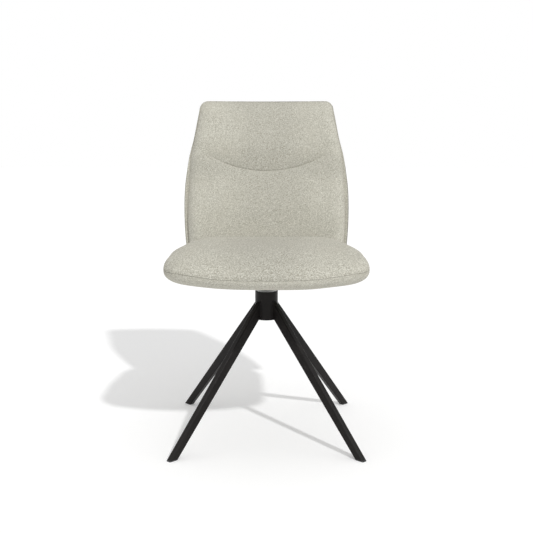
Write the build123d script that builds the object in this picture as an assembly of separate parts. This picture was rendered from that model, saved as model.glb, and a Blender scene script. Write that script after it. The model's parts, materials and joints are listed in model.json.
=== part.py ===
"""Swivel dining chair: upholstered seat and back on a four-legged steel base.

Millimetres, +Z up. The origin is on the floor, on the axis that the seat turns
about. The sitter faces -Y, and +X is to the right in a view from the front.
"""
from build123d import *
import math
import os

# ---------------------------------------------------------------- base
foot_reach = 325.0           # swivel axis to the outer tip of a foot
foot_length = 23.8           # a leg's cut end on the floor, measured outwards
leg_width = 15.0             # a leg seen from above, across its run
leg_wall = 1.8
leg_edge_radius = 2.4        # rounding along a leg's four long edges
leg_count = 4
first_leg_angle = 45.0       # the legs stand on the diagonals
hub_diameter = 58.0
hub_wall = 3.0
hub_height = 72.0
hub_to_plate = 38.5          # hub tube's upper end to the steel plate above it
hub_rim_radius = 1.0         # rounding of the tube's two ends
hub_above_legs = 25.0        # tube that shows above the legs' top edges
hub_below_legs = 6.0         # tube that shows below the legs' lower edges
glide_thickness = 3.0        # plastic between a leg's end and the floor
glide_plug_height = 24.0
glide_fit = 0.15             # gap between a glide's plug and the leg's wall

# ---------------------------------------------------------------- swivel
journal_diameter = 20.0      # the spindle where it turns in the bushes
neck_diameter = 24.0         # the spindle where it shows above the hub
running_gap = 0.05           # radial gap between the journal and a bush
bush_length = 18.0
bush_proud = 1.5             # the upper bush stands out of the hub by this
thrust_washer_diameter = 36.0
thrust_washer_thickness = 1.2
collar_diameter = 46.0       # the spindle's flange, welded under the plate
collar_thickness = 5.0
retaining_washer_diameter = 34.0
retaining_washer_thickness = 2.0
circlip_thickness = 1.2
circlip_depth = 1.0          # how far the circlip sits into the journal
circlip_rise = 4.0           # how far it stands out of the journal
journal_tail = 3.0           # journal left below the circlip
hub_cap_thickness = 2.0
hub_cap_skirt = 7.0
hub_cap_wall = 1.8

# ---------------------------------------------------------------- seat
seat_front = 310.0           # swivel axis to the front of the seat's seam
seat_rear = 150.0            # swivel axis to the middle of the seat's rear edge
seat_half_width = 237.5      # at the front corners, where the seat is widest
seat_rear_half_width = 221.0
seat_front_radius = 610.0    # the gentle curve of the front edge in plan
seat_front_corner = 72.0
seat_rear_corner = 105.0
seam_height = 445.0          # height of the seam round the seat
seat_crown = 54.0            # top of the crown above the seam
crown_fullness = 2.3         # of the crown's profile: 2 is a quarter ellipse
crown_run_front = 235.0      # seam to the level top of the crown, in plan
crown_run_side = 95.0
crown_run_rear = 128.0
seat_underside = 37.5        # flat underside below the seam
underside_run_front = 110.0  # seam to the flat underside, in plan
underside_run_side = 124.0
underside_run_rear = 16.0
board_thickness = 12.0       # moulded plywood seat board
board_front_margin = 114.0   # seam to the board's edge, at the front
board_side_margin = 128.0
board_rear_margin = 20.0
dust_cover_thickness = 0.8
dust_cover_hem = 3.0         # the board's edge to the dust cover's edge
soft_gap = 0.3               # gap round soft pieces

# ---------------------------------------------------------------- plate
plate_width = 150.0
plate_depth = 180.0
plate_thickness = 3.0
plate_flange = 11.0          # the plate's turned-down sides
plate_corner = 14.0
plate_bolt_spacing_x = 112.0
plate_bolt_spacing_y = 120.0
plate_opening_gap = 6.0      # the dust cover stops this far round the plate

# ---------------------------------------------------------------- back
back_lean = 15.0             # degrees from upright
back_bow_radius = 800.0      # hollow curve of the back, seen from above
back_gap = 0.5               # gap between the seat's rear edge and the back
back_board_thickness = 10.0
back_board_margin = 34.0     # the back's outline to the board's edge
back_board_corner = 40.0
band_overhang = 4.0          # the side band's bulge beyond the seam
crease_depth = 4.0
crease_half_width = 166.0
crease_middle = 219.5        # heights above the seat's seam
crease_ends = 261.0

# ---------------------------------------------------------------- brackets
bracket_width = 36.0
bracket_thickness = 5.0
bracket_bend_radius = 9.0    # inside the bend
bracket_board_reach = 56.0   # the seat board's rear edge to a bracket's end
bracket_back_leg = 150.0
bracket_share = 0.62         # a bracket's place across half of the board's rear
bracket_fit = 0.65           # least gap between a flat strap and the bowed board

# ---------------------------------------------------------------- fasteners
bolt_diameter = 6.0
bolt_head_diameter = 12.0
bolt_head_height = 3.3
bolt_hole_gap = 0.3          # radial room for a bolt in plate and bracket
thread_gap = 0.1             # radial room for a bolt in its nut
tee_flange_diameter = 18.0
tee_flange_thickness = 1.2
tee_barrel_diameter = 8.0
tee_barrel_length = 8.5
socket_diameter = 4.0
socket_depth = 2.0
bracket_bolt_margin = 14.0   # a leg's end to its outer bolt
bracket_seat_bolt_pitch = 28.0
bracket_back_bolt_pitch = 60.0

# ---------------------------------------------------------------- worked out
board_bottom = seam_height - seat_underside
board_top = board_bottom + board_thickness
plate_top = board_bottom
plate_bottom = plate_top - plate_thickness
hub_top = plate_bottom - hub_to_plate
hub_bottom = hub_top - hub_height
hub_radius = hub_diameter / 2
hub_bore = hub_radius - hub_wall
leg_top_join = hub_top - hub_above_legs
leg_low_join = hub_bottom + hub_below_legs
journal_radius = journal_diameter / 2
shoulder_height = hub_top + bush_proud + thrust_washer_thickness + running_gap
lean_slope = math.tan(math.radians(back_lean))
bracket_start_y = seat_rear - board_rear_margin - bracket_board_reach
bracket_offset = bracket_share * (seat_rear_half_width - board_side_margin)
lower_bush_bottom = hub_bottom + hub_cap_skirt + journal_tail + circlip_thickness
lower_bush_bottom += retaining_washer_thickness

# Turns of the rounded profiles that leave the seam: the level top of the crown
# and the flat underside are reached after a quarter turn.
crown_turns = [0, 15, 30, 45, 57, 67, 75, 82, 87, 90]
underside_turns = [0, 30, 60, 90]
# Stations up the back: height above the seat's seam, half width, and depth
# of the padding before and behind the middle of the board.
back_stations = [
    (-37.0, 178.0, 12.0, 13.0),
    (-24.0, 204.5, 29.0, 27.0),
    (0.0, 216.0, 36.0, 33.0),
    (50.0, 221.5, 36.0, 33.0),
    (115.0, 224.5, 36.0, 33.0),
    (170.0, 223.5, 34.0, 31.0),
    (220.0, 218.5, 31.0, 29.0),
    (270.0, 209.5, 30.0, 27.0),
    (315.0, 199.0, 28.0, 25.0),
    (368.0, 189.5, 24.0, 22.0),
    (395.0, 182.0, 17.0, 16.0),
    (408.0, 159.0, 6.0, 6.0),
]
# The padding in front of the board at the station level with the seat's seam.
padding_at_seat = next(station[2] for station in back_stations if station[0] == 0)


def sagitta(radius, half_chord):
    """Rise of an arc over half of its chord."""
    return radius - math.sqrt(radius ** 2 - half_chord ** 2)


def ring(outer_radius, inner_radius, bottom, height):
    """Plain upright ring on the swivel axis."""
    solid = Pos(0, 0, bottom) * Cylinder(
        outer_radius, height, align=(Align.CENTER, Align.CENTER, Align.MIN))
    bore = Pos(0, 0, bottom) * Cylinder(
        inner_radius, height, align=(Align.CENTER, Align.CENTER, Align.MIN))
    return solid - bore


def disc(radius, bottom, height):
    """Plain upright disc on the swivel axis."""
    return Pos(0, 0, bottom) * Cylinder(
        radius, height, align=(Align.CENTER, Align.CENTER, Align.MIN))


# ================================================================ base
def hub_tube():
    tube = ring(hub_radius, hub_bore, hub_bottom, hub_height)
    rims = tube.edges().filter_by(GeomType.CIRCLE).filter_by(
        lambda edge: edge.radius > (hub_radius + hub_bore) / 2)
    return fillet(rims, hub_rim_radius)


def leg_blank(inset):
    """A leg along +X, drawn in by inset on all four sides, with long ends.

    Its side view lies between two straight edges that run from the floor
    cut to the hub's surface, so it is deeper at the hub than at the foot.
    """
    top_slope = leg_top_join / (foot_reach - hub_radius)
    foot_inner = foot_reach - foot_length
    low_slope = leg_low_join / (foot_inner - hub_radius)
    top_shift = inset * math.hypot(1, top_slope)
    low_shift = inset * math.hypot(1, low_slope)
    root = hub_bore / 2
    tip = foot_reach + foot_length
    profile = Polyline(
        (root, 0, (foot_reach - root) * top_slope - top_shift),
        (tip, 0, (foot_reach - tip) * top_slope - top_shift),
        (tip, 0, (foot_inner - tip) * low_slope + low_shift),
        (root, 0, (foot_inner - root) * low_slope + low_shift),
        close=True)
    width = leg_width - 2 * inset
    blank = extrude(make_face(profile), amount=width / 2, dir=(0, 1, 0), both=True)
    long_edges = [edge for edge in blank.edges()
                  if abs(edge.center().Y) > width / 4 and edge.length > leg_top_join]
    radius = max(leg_edge_radius - inset, leg_edge_radius / 4)
    return fillet(long_edges, radius)


def above(height):
    """Large block that holds everything above a height."""
    size = 4 * foot_reach
    return Pos(0, 0, height) * Box(size, size, size, align=(Align.CENTER, Align.CENTER, Align.MIN))


def leg():
    tube = leg_blank(0) - leg_blank(leg_wall)
    tube -= disc(hub_radius, 0, hub_top + hub_height)
    return tube & above(glide_thickness)


def glide():
    """Foot pad with a plug that goes up inside the leg."""
    pad = (leg_blank(0) & above(0)) - above(glide_thickness)
    plug = (leg_blank(leg_wall + glide_fit) & above(0)) - above(glide_plug_height)
    return pad + plug


def leg_angles():
    names = ["rear_right", "rear_left", "front_left", "front_right"]
    for index, name in enumerate(names):
        yield name, first_leg_angle + index * 360 / leg_count


def lower_bush():
    return ring(hub_bore, journal_radius + running_gap, lower_bush_bottom, bush_length)


def upper_bush():
    return ring(hub_bore, journal_radius + running_gap,
                hub_top - bush_length, bush_length + bush_proud)


def thrust_washer():
    return ring(thrust_washer_diameter / 2, journal_radius + running_gap,
                hub_top + bush_proud, thrust_washer_thickness)


def hub_cap():
    cap = disc(hub_bore, hub_bottom, hub_cap_thickness)
    skirt = ring(hub_bore, hub_bore - hub_cap_wall, hub_bottom, hub_cap_skirt)
    return cap + skirt


# ================================================================ swivel
def washer_bottom():
    """Underside of the retaining washer, just below the lower bush."""
    return lower_bush_bottom - running_gap - retaining_washer_thickness


def spindle():
    groove_top = washer_bottom()
    groove_bottom = groove_top - circlip_thickness
    tail_bottom = groove_bottom - journal_tail
    collar_bottom = plate_bottom - collar_thickness
    pin = disc(journal_radius, tail_bottom, shoulder_height - tail_bottom)
    pin += disc(neck_diameter / 2, shoulder_height, collar_bottom - shoulder_height)
    pin += disc(collar_diameter / 2, collar_bottom, collar_thickness)
    groove = ring(journal_radius + circlip_rise, journal_radius - circlip_depth,
                  groove_bottom, circlip_thickness)
    return pin - groove


def retaining_washer():
    return ring(retaining_washer_diameter / 2, journal_radius, washer_bottom(),
                retaining_washer_thickness)


def circlip():
    """Open ring in the journal's groove."""
    bottom = washer_bottom() - circlip_thickness
    clip = ring(journal_radius + circlip_rise, journal_radius - circlip_depth,
                bottom, circlip_thickness)
    mouth = Pos(0, -journal_radius, bottom) * Box(
        journal_radius, 2 * journal_radius, 4 * circlip_thickness)
    return clip - mouth


# ================================================================ plate
def plate_bolt_places():
    for x in (-plate_bolt_spacing_x / 2, plate_bolt_spacing_x / 2):
        for y in (-plate_bolt_spacing_y / 2, plate_bolt_spacing_y / 2):
            yield x, y


def mounting_plate():
    """Pressed channel: a flat web with its two sides turned down."""
    blank = RectangleRounded(plate_width, plate_depth, plate_corner)
    web = Pos(0, 0, plate_bottom) * extrude(blank, plate_thickness)
    side_length = plate_depth - 2 * plate_corner
    for side in (-1, 1):
        x = side * (plate_width - plate_thickness) / 2
        web += Pos(x, 0, plate_top) * Box(
            plate_thickness, side_length, plate_flange,
            align=(Align.CENTER, Align.CENTER, Align.MAX))
    bend_edges = [edge for edge in web.edges()
                  if abs(abs(edge.center().X) - (plate_width / 2 - plate_thickness)) < 0.01
                  and abs(edge.center().Z - plate_bottom) < 0.01
                  and abs(edge.length - side_length) < 0.01]
    web = fillet(bend_edges, plate_thickness * 0.8)
    for x, y in plate_bolt_places():
        web -= Pos(x, y, plate_bottom) * Cylinder(
            bolt_diameter / 2 + bolt_hole_gap, 4 * plate_thickness)
    return web


# ================================================================ fasteners
def bolt(length):
    """Round-headed socket bolt: head below Z = 0, shank up to length."""
    shank = Cylinder(bolt_diameter / 2, length, align=(Align.CENTER, Align.CENTER, Align.MIN))
    head = Cylinder(bolt_head_diameter / 2, bolt_head_height,
                    align=(Align.CENTER, Align.CENTER, Align.MAX))
    head = fillet(head.edges().sort_by(Axis.Z)[0], bolt_head_height * 0.6)
    socket = Pos(0, 0, -bolt_head_height) * Cylinder(
        socket_diameter / 2, socket_depth, align=(Align.CENTER, Align.CENTER, Align.MIN))
    return shank + head - socket


def tee_nut():
    """Flange above Z = 0 and a barrel that goes down into the board."""
    flange = Cylinder(tee_flange_diameter / 2, tee_flange_thickness,
                      align=(Align.CENTER, Align.CENTER, Align.MIN))
    barrel = Cylinder(tee_barrel_diameter / 2, tee_barrel_length,
                      align=(Align.CENTER, Align.CENTER, Align.MAX))
    bore = Cylinder(bolt_diameter / 2 + thread_gap, 4 * tee_barrel_length)
    return flange + barrel - bore


def plate_bolts():
    reach = plate_thickness + board_thickness + tee_flange_thickness
    return [Pos(x, y, plate_bottom) * bolt(reach) for x, y in plate_bolt_places()]


def plate_tee_nuts():
    return [Pos(x, y, board_top) * tee_nut() for x, y in plate_bolt_places()]


# ================================================================ brackets
def back_middle(height):
    """Y of the middle of the back board on the chair's centre line."""
    at_seat = seat_rear + back_gap + padding_at_seat
    return at_seat + (height - seam_height) * lean_slope


def strap_bow():
    """Hollow of the bowed board across the width of a flat strap."""
    return sagitta(back_bow_radius, bracket_width / 2)


def upright_plane():
    """Plane on the bracket's upright face that lies on the back board.

    Its X runs across the chair, its Y up the lean and its Z to the front.
    """
    level = board_top + bracket_thickness
    lean = math.radians(back_lean)
    half_board = back_board_thickness / 2 / math.cos(lean)
    front_shift = half_board + strap_bow() + bracket_fit
    origin = (0, back_middle(level) - front_shift, level)
    return Plane(origin=origin, x_dir=(1, 0, 0), z_dir=(0, -math.cos(lean), math.sin(lean)))


def bracket_blank(grow):
    """Bent flat strap on the centre line, grown on all sides for a pocket."""
    face_plane = upright_plane()
    foot_point = face_plane.origin
    up = face_plane.y_dir
    front = face_plane.z_dir
    corner = Vector(0, foot_point.Y - bracket_thickness * lean_slope, board_top)
    top_back = foot_point + up * bracket_back_leg
    top_front = top_back + front * bracket_thickness
    inner_height = board_top + bracket_thickness
    run = (inner_height - top_front.Z) / up.Z
    inner = top_front + up * run
    side_view = Polyline(
        (0, bracket_start_y, board_top),
        (0, corner.Y, corner.Z),
        (0, top_back.Y, top_back.Z),
        (0, top_front.Y, top_front.Z),
        (0, inner.Y, inner.Z),
        (0, bracket_start_y, inner_height),
        close=True)
    face = make_face(side_view)
    strap = extrude(face, amount=bracket_width / 2, dir=(1, 0, 0), both=True)
    outer_bend = [edge for edge in strap.edges().filter_by(Axis.X)
                  if abs(edge.center().Y - corner.Y) < 0.01
                  and abs(edge.center().Z - corner.Z) < 0.01]
    strap = fillet(outer_bend, bracket_bend_radius + bracket_thickness)
    inner_bend = [edge for edge in strap.edges().filter_by(Axis.X)
                  if abs(edge.center().Y - inner.Y) < 0.01
                  and abs(edge.center().Z - inner.Z) < 0.01]
    strap = fillet(inner_bend, bracket_bend_radius)
    if grow > 0:
        strap = offset(strap, amount=grow, kind=Kind.INTERSECTION)
    return strap


def seat_bolt_places():
    """Centre-line places of a bracket's bolts into the seat board."""
    first_y = bracket_start_y + bracket_bolt_margin
    for y in (first_y, first_y + bracket_seat_bolt_pitch):
        yield Location((0, y, board_top + bracket_thickness), (180, 0, 0))


def back_bolt_places():
    """Centre-line places of a bracket's bolts into the back board."""
    face_plane = upright_plane()
    top = bracket_back_leg - bracket_bolt_margin
    for rise in (top - bracket_back_bolt_pitch, top):
        origin = face_plane.origin + face_plane.y_dir * rise
        origin += face_plane.z_dir * bracket_thickness
        yield Plane(origin=origin, x_dir=face_plane.x_dir, z_dir=-face_plane.z_dir).location


def to_side(shape, side):
    """Swing a centre-line piece round the back's curve to a bracket's place."""
    turn = side * math.degrees(math.asin(bracket_offset / back_bow_radius))
    curve_axis = Axis((0, back_middle(board_top) - back_bow_radius, 0), (0, 0, 1))
    return shape.rotate(curve_axis, -turn)


def bracket(side):
    strap = bracket_blank(0)
    hole = Cylinder(bolt_diameter / 2 + bolt_hole_gap, 4 * bracket_thickness)
    for place in list(seat_bolt_places()) + list(back_bolt_places()):
        strap -= place * hole
    return to_side(strap, side)


def bracket_pockets():
    """Room in the padding for both straps, up to the bowed board's face."""
    room = bracket_blank(bracket_fit + strap_bow())
    return [to_side(room, side) for side in (-1, 1)]


def bracket_fasteners(places, board, make):
    pieces = []
    for side in (-1, 1):
        for place in places():
            pieces.append(to_side(place * make(board), side))
    return pieces


def strap_bolt(board):
    return bolt(bracket_thickness + board)


def strap_nut(board):
    """Tee nut let into the far face of a board of this thickness."""
    depth = bracket_thickness + board - tee_flange_thickness
    return Pos(0, 0, depth) * tee_nut()


def fastener_room(places):
    """Room in the padding for the heads of the brackets' bolts."""
    head_room = Cylinder(bolt_head_diameter / 2 + soft_gap, bolt_head_height + soft_gap,
                         align=(Align.CENTER, Align.CENTER, Align.MAX))
    cutters = []
    for side in (-1, 1):
        for place in places():
            cutters.append(to_side(place * head_room, side))
    return cutters


def board_holes(places, board):
    """Barrel hole and flange recess for each bracket nut in a board."""
    depth = bracket_thickness + board
    barrel = Pos(0, 0, depth / 2) * Cylinder(tee_barrel_diameter / 2, 2 * depth)
    recess = Pos(0, 0, depth - tee_flange_thickness) * Cylinder(
        tee_flange_diameter / 2, 2 * tee_flange_thickness,
        align=(Align.CENTER, Align.CENTER, Align.MIN))
    cutters = []
    for side in (-1, 1):
        for place in places():
            cutters.append(to_side(place * (barrel + recess), side))
    return cutters


# ================================================================ seat
def seat_outline(height, front, side, rear):
    """Plan of the seat at one height, drawn in at front, sides and rear."""
    front_y = front - seat_front
    rear_y = seat_rear - rear
    front_x = seat_half_width - side
    rear_x = seat_rear_half_width - side
    front_corner_y = front_y + sagitta(seat_front_radius, front_x)
    rear_corner_y = rear_y - sagitta(back_bow_radius, rear_x)
    plan = make_face([
        ThreePointArc((-front_x, front_corner_y), (0, front_y), (front_x, front_corner_y)),
        Line((front_x, front_corner_y), (rear_x, rear_corner_y)),
        ThreePointArc((rear_x, rear_corner_y), (0, rear_y), (-rear_x, rear_corner_y)),
        Line((-rear_x, rear_corner_y), (-front_x, front_corner_y)),
    ])
    shrunk = min(front_x / seat_half_width, (rear_y - front_y) / (seat_rear + seat_front))
    corners = plan.vertices().sort_by(Axis.Y)
    plan = fillet(corners[:2], seat_front_corner * shrunk)
    corners = [vertex for vertex in plan.vertices()
               if abs(vertex.Y - rear_corner_y) < 0.001]
    plan = fillet(corners, seat_rear_corner * shrunk)
    return Pos(0, 0, height) * plan.faces()[0]


def seat_board_plan(grow, height):
    return seat_outline(height, board_front_margin - grow, board_side_margin - grow,
                        board_rear_margin - grow)


def seat_board():
    board = extrude(seat_board_plan(0, board_bottom), board_thickness, dir=(0, 0, 1))
    for x, y in plate_bolt_places():
        board -= Pos(x, y, board_bottom) * Cylinder(tee_barrel_diameter / 2, 4 * board_thickness)
    for cutter in board_holes(seat_bolt_places, board_thickness):
        board -= cutter
    return board


def seat_level(turn, base, rise, front_run, side_run, rear_run, fullness=2.0):
    """Outline at one turn of the rounded profiles that leave the seam."""
    risen = math.sin(math.radians(turn))
    drawn_in = 1 - max(0.0, 1 - risen ** fullness) ** (1 / fullness)
    height = base + rise * risen
    return seat_outline(height, front_run * drawn_in, side_run * drawn_in,
                        rear_run * drawn_in)


def seat_cushion():
    """Crowned top of the seat, above its seam."""
    base = seam_height + soft_gap / 2
    return loft([seat_level(turn, base, seat_crown, crown_run_front, crown_run_side,
                            crown_run_rear, crown_fullness) for turn in crown_turns])


def seat_underpad():
    """Padding below the seam, round the board and open beneath it."""
    base = seam_height - soft_gap / 2
    pad = loft([seat_level(turn, base, board_bottom - base, underside_run_front,
                           underside_run_side, underside_run_rear)
                for turn in underside_turns])
    room = board_thickness + tee_flange_thickness + soft_gap
    pad -= extrude(seat_board_plan(soft_gap, board_bottom - board_thickness),
                   board_thickness + room, dir=(0, 0, 1))
    for pocket in bracket_pockets():
        pad -= pocket
    for cutter in fastener_room(seat_bolt_places):
        pad -= cutter
    return pad


def dust_cover():
    """Thin cloth under the board, open round the steel plate."""
    sheet = extrude(seat_board_plan(-dust_cover_hem, board_bottom - dust_cover_thickness),
                    dust_cover_thickness, dir=(0, 0, 1))
    opening = Pos(0, 0, board_bottom) * Box(
        plate_width + 2 * plate_opening_gap, plate_depth + 2 * plate_opening_gap,
        4 * dust_cover_thickness)
    return sheet - opening


# ================================================================ back
def bow(half_width):
    return sagitta(back_bow_radius, half_width)


def front_section(rise, half_width, front_depth):
    """Plan section of the front padding: hollow front, drawn-in sides."""
    height = seam_height + rise
    middle = back_middle(height)
    edge = half_width - band_overhang
    shoulder = half_width - front_depth * 0.8
    rear_y = middle - soft_gap / 2
    front_y = middle - front_depth
    shoulder_y = middle - front_depth * 0.72 - bow(shoulder)
    edge_y = rear_y - bow(edge)
    side_y = edge_y - front_depth * 0.42
    side_x = edge - front_depth * 0.18
    return Pos(0, 0, height) * make_face([
        ThreePointArc((-shoulder, shoulder_y), (0, front_y), (shoulder, shoulder_y)),
        ThreePointArc((shoulder, shoulder_y), (side_x, side_y), (edge, edge_y)),
        ThreePointArc((edge, edge_y), (0, rear_y), (-edge, edge_y)),
        ThreePointArc((-edge, edge_y), (-side_x, side_y), (-shoulder, shoulder_y)),
    ])


def rear_section(rise, half_width, rear_depth):
    """Plan section of the rear padding with the side band's bulge."""
    height = seam_height + rise
    middle = back_middle(height)
    edge = half_width - band_overhang
    shoulder = half_width - rear_depth * 0.7
    front_y = middle + soft_gap / 2
    rear_y = middle + rear_depth
    shoulder_y = middle + rear_depth * 0.8 - bow(shoulder)
    edge_y = front_y - bow(edge)
    side_y = edge_y + rear_depth * 0.42
    return Pos(0, 0, height) * make_face([
        ThreePointArc((-edge, edge_y), (0, front_y), (edge, edge_y)),
        ThreePointArc((edge, edge_y), (half_width, side_y), (shoulder, shoulder_y)),
        ThreePointArc((shoulder, shoulder_y), (0, rear_y), (-shoulder, shoulder_y)),
        ThreePointArc((-shoulder, shoulder_y), (-half_width, side_y), (-edge, edge_y)),
    ])


def back_board_blank(grow):
    """Bowed panel on the lean, grown on all sides for a pocket."""
    thickness = back_board_thickness + 2 * grow
    margin = back_board_margin - grow
    low = seam_height + back_stations[0][0]
    high = seam_height + back_stations[-1][0]
    middle = back_middle(low)
    half = thickness / 2 / math.cos(math.radians(back_lean))
    widest = max(station[1] for station in back_stations)
    dip = bow(widest)
    section = make_face([
        ThreePointArc((-widest, middle - half - dip), (0, middle - half),
                      (widest, middle - half - dip)),
        Line((widest, middle - half - dip), (widest, middle + half - dip)),
        ThreePointArc((widest, middle + half - dip), (0, middle + half),
                      (-widest, middle + half - dip)),
        Line((-widest, middle + half - dip), (-widest, middle - half - dip)),
    ])
    lean_dir = Vector(0, lean_slope, 1)
    slab = extrude(Pos(0, 0, low) * section, amount=(high - low) * lean_dir.length, dir=lean_dir)
    outline_points = [(station[1] - margin, seam_height + station[0])
                      for station in back_stations[1:-1]]
    first_x = outline_points[0][0]
    last_x = outline_points[-1][0]
    bottom = low + margin
    top = high - margin
    right = [(first_x, bottom)] + [point for point in outline_points
                                   if bottom + margin < point[1] < top - margin] + [(last_x, top)]
    left = [(-x, z) for x, z in reversed(right)]
    outline = make_face(Polyline(*[(x, 0, z) for x, z in right + left], close=True))
    prism = extrude(outline, amount=4 * widest, dir=(0, 1, 0), both=True)
    upright_edges = [edge for edge in prism.edges().filter_by(Axis.Y)
                     if edge.center().Z > top - margin / 2
                     or edge.center().Z < bottom + margin / 2]
    prism = fillet(upright_edges, back_board_corner)
    return slab & prism


def back_board():
    board = back_board_blank(0)
    for cutter in board_holes(back_bolt_places, back_board_thickness):
        board -= cutter
    return board


def station_depth(rise):
    """Depth of the front padding at a height above the seat's seam."""
    for low, high in zip(back_stations, back_stations[1:]):
        if low[0] <= rise <= high[0]:
            share = (rise - low[0]) / (high[0] - low[0])
            return low[2] + share * (high[2] - low[2])
    return back_stations[-1][2]


def crease():
    """Round groove along the crescent across the front of the back."""
    middle_y = back_middle(seam_height + crease_middle) - station_depth(crease_middle)
    end_y = back_middle(seam_height + crease_ends) - station_depth(crease_ends) * 0.8
    end_y -= bow(crease_half_width)
    path = ThreePointArc((-crease_half_width, end_y, seam_height + crease_ends),
                         (0, middle_y, seam_height + crease_middle),
                         (crease_half_width, end_y, seam_height + crease_ends))
    return sweep(Plane(origin=path @ 0, z_dir=path % 0) * Circle(crease_depth), path=path)


def back_cushion():
    """Front padding of the back with its crescent crease."""
    sections = [front_section(rise, half_width, front_depth)
                for rise, half_width, front_depth, rear_depth in back_stations]
    pad = loft(sections)
    pad -= back_board_blank(soft_gap)
    for pocket in bracket_pockets():
        pad -= pocket
    for cutter in fastener_room(back_bolt_places):
        pad -= cutter
    return pad - crease()


def back_shell_pad():
    """Side band and rear padding of the back."""
    sections = [rear_section(rise, half_width, rear_depth)
                for rise, half_width, front_depth, rear_depth in back_stations]
    return loft(sections) - back_board_blank(soft_gap)


# ================================================================ assembly
def make_parts():
    parts = {"hub_tube": hub_tube()}
    blank_leg = leg()
    blank_glide = glide()
    for name, angle in leg_angles():
        parts["leg_" + name] = Rot(0, 0, angle) * blank_leg
        parts["glide_" + name] = Rot(0, 0, angle) * blank_glide
    parts["lower_bush"] = lower_bush()
    parts["upper_bush"] = upper_bush()
    parts["thrust_washer"] = thrust_washer()
    parts["hub_cap"] = hub_cap()
    parts["spindle"] = spindle()
    parts["retaining_washer"] = retaining_washer()
    parts["circlip"] = circlip()
    parts["mounting_plate"] = mounting_plate()
    parts["plate_bolts"] = plate_bolts()
    parts["plate_tee_nuts"] = plate_tee_nuts()
    parts["seat_board"] = seat_board()
    parts["dust_cover"] = dust_cover()
    parts["seat_underpad"] = seat_underpad()
    parts["seat_cushion"] = seat_cushion()
    parts["bracket_left"] = bracket(-1)
    parts["bracket_right"] = bracket(1)
    parts["bracket_seat_bolts"] = bracket_fasteners(seat_bolt_places, board_thickness, strap_bolt)
    parts["bracket_seat_nuts"] = bracket_fasteners(seat_bolt_places, board_thickness, strap_nut)
    parts["bracket_back_bolts"] = bracket_fasteners(
        back_bolt_places, back_board_thickness, strap_bolt)
    parts["bracket_back_nuts"] = bracket_fasteners(
        back_bolt_places, back_board_thickness, strap_nut)
    parts["back_board"] = back_board()
    parts["back_cushion"] = back_cushion()
    parts["back_shell_pad"] = back_shell_pad()
    return parts


def main():
    os.makedirs("parts", exist_ok=True)
    for name, shape in make_parts().items():
        pieces = shape if isinstance(shape, list) else [shape]
        solids = [solid for piece in pieces for solid in piece.solids()]
        export_step(Compound(children=solids), "parts/" + name + ".step")
        print(name, len(solids), round(sum(solid.volume for solid in solids)))


main()
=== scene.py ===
"""Swivel dining chair: upholstery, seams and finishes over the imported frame.

Metres, +Z up. The seat faces -Y, and the swivel axis is the Z axis.
"""
import json
import math
import bpy
import numpy as np
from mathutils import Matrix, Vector, noise


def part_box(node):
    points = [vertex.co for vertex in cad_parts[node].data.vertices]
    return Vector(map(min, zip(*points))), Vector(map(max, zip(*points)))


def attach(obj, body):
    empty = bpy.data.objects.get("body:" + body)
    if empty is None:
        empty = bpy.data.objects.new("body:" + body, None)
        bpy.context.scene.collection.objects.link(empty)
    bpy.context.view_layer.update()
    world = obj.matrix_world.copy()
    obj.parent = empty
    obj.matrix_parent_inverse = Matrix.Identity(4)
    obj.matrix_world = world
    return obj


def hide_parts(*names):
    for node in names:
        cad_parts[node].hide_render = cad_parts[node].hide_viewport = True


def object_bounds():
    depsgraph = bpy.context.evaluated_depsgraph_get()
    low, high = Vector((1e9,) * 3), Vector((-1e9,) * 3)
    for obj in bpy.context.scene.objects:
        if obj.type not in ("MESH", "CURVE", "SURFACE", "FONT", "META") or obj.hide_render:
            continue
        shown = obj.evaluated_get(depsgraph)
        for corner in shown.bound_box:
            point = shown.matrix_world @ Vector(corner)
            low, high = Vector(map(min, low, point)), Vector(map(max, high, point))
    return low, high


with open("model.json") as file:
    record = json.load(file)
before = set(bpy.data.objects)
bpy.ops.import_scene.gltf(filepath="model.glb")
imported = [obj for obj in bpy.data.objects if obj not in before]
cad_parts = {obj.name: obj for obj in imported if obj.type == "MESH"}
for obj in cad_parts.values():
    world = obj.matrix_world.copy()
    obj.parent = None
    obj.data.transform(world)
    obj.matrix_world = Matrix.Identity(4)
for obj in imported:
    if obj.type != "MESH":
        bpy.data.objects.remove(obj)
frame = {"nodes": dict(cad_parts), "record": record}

cad_low, cad_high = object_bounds()
nodes = frame["nodes"]

# ------------------------------------------------------------ seat sizes
seat_front = 0.310
seat_rear = 0.150
seat_half_width = 0.2368
seat_rear_half_width = 0.2205
seat_front_bow = 0.610
seat_rear_bow = 0.800
seat_front_corner = 0.072
seat_rear_corner = 0.105
seam_height = 0.445
seam_dip = 0.006             # the front seam's middle hangs below its height
seam_lift = 0.006            # and its corners rise above it
seam_gap = 0.0001            # each cover's distance from the middle of its seam
seat_crown = 0.0528
seat_underside = 0.0370
fullness = 2.3               # of the crown's profile: 2 is an ellipse
lower_fullness = 2.4         # of the underside's profile
crown_run = (0.235, 0.095, 0.128)        # front, side, rear
underside_run = (0.110, 0.124, 0.016)
board_margin = (0.1135, 0.1275, 0.0195)
board_underside = 0.4075
room_above_board = 0.022     # board, straps and bolt heads
lower_roll = 0.001           # swell of the padding below the board's edge
lower_lift = 0.0062          # and how much flatter it lies beside its middle
side_fill = 0.0120           # swell of the crown's sides, halfway back
stitch_away = 0.0034         # from the seat's seam to each row of stitches
most_swell = 0.003           # that the simulation may add to a cover

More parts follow.
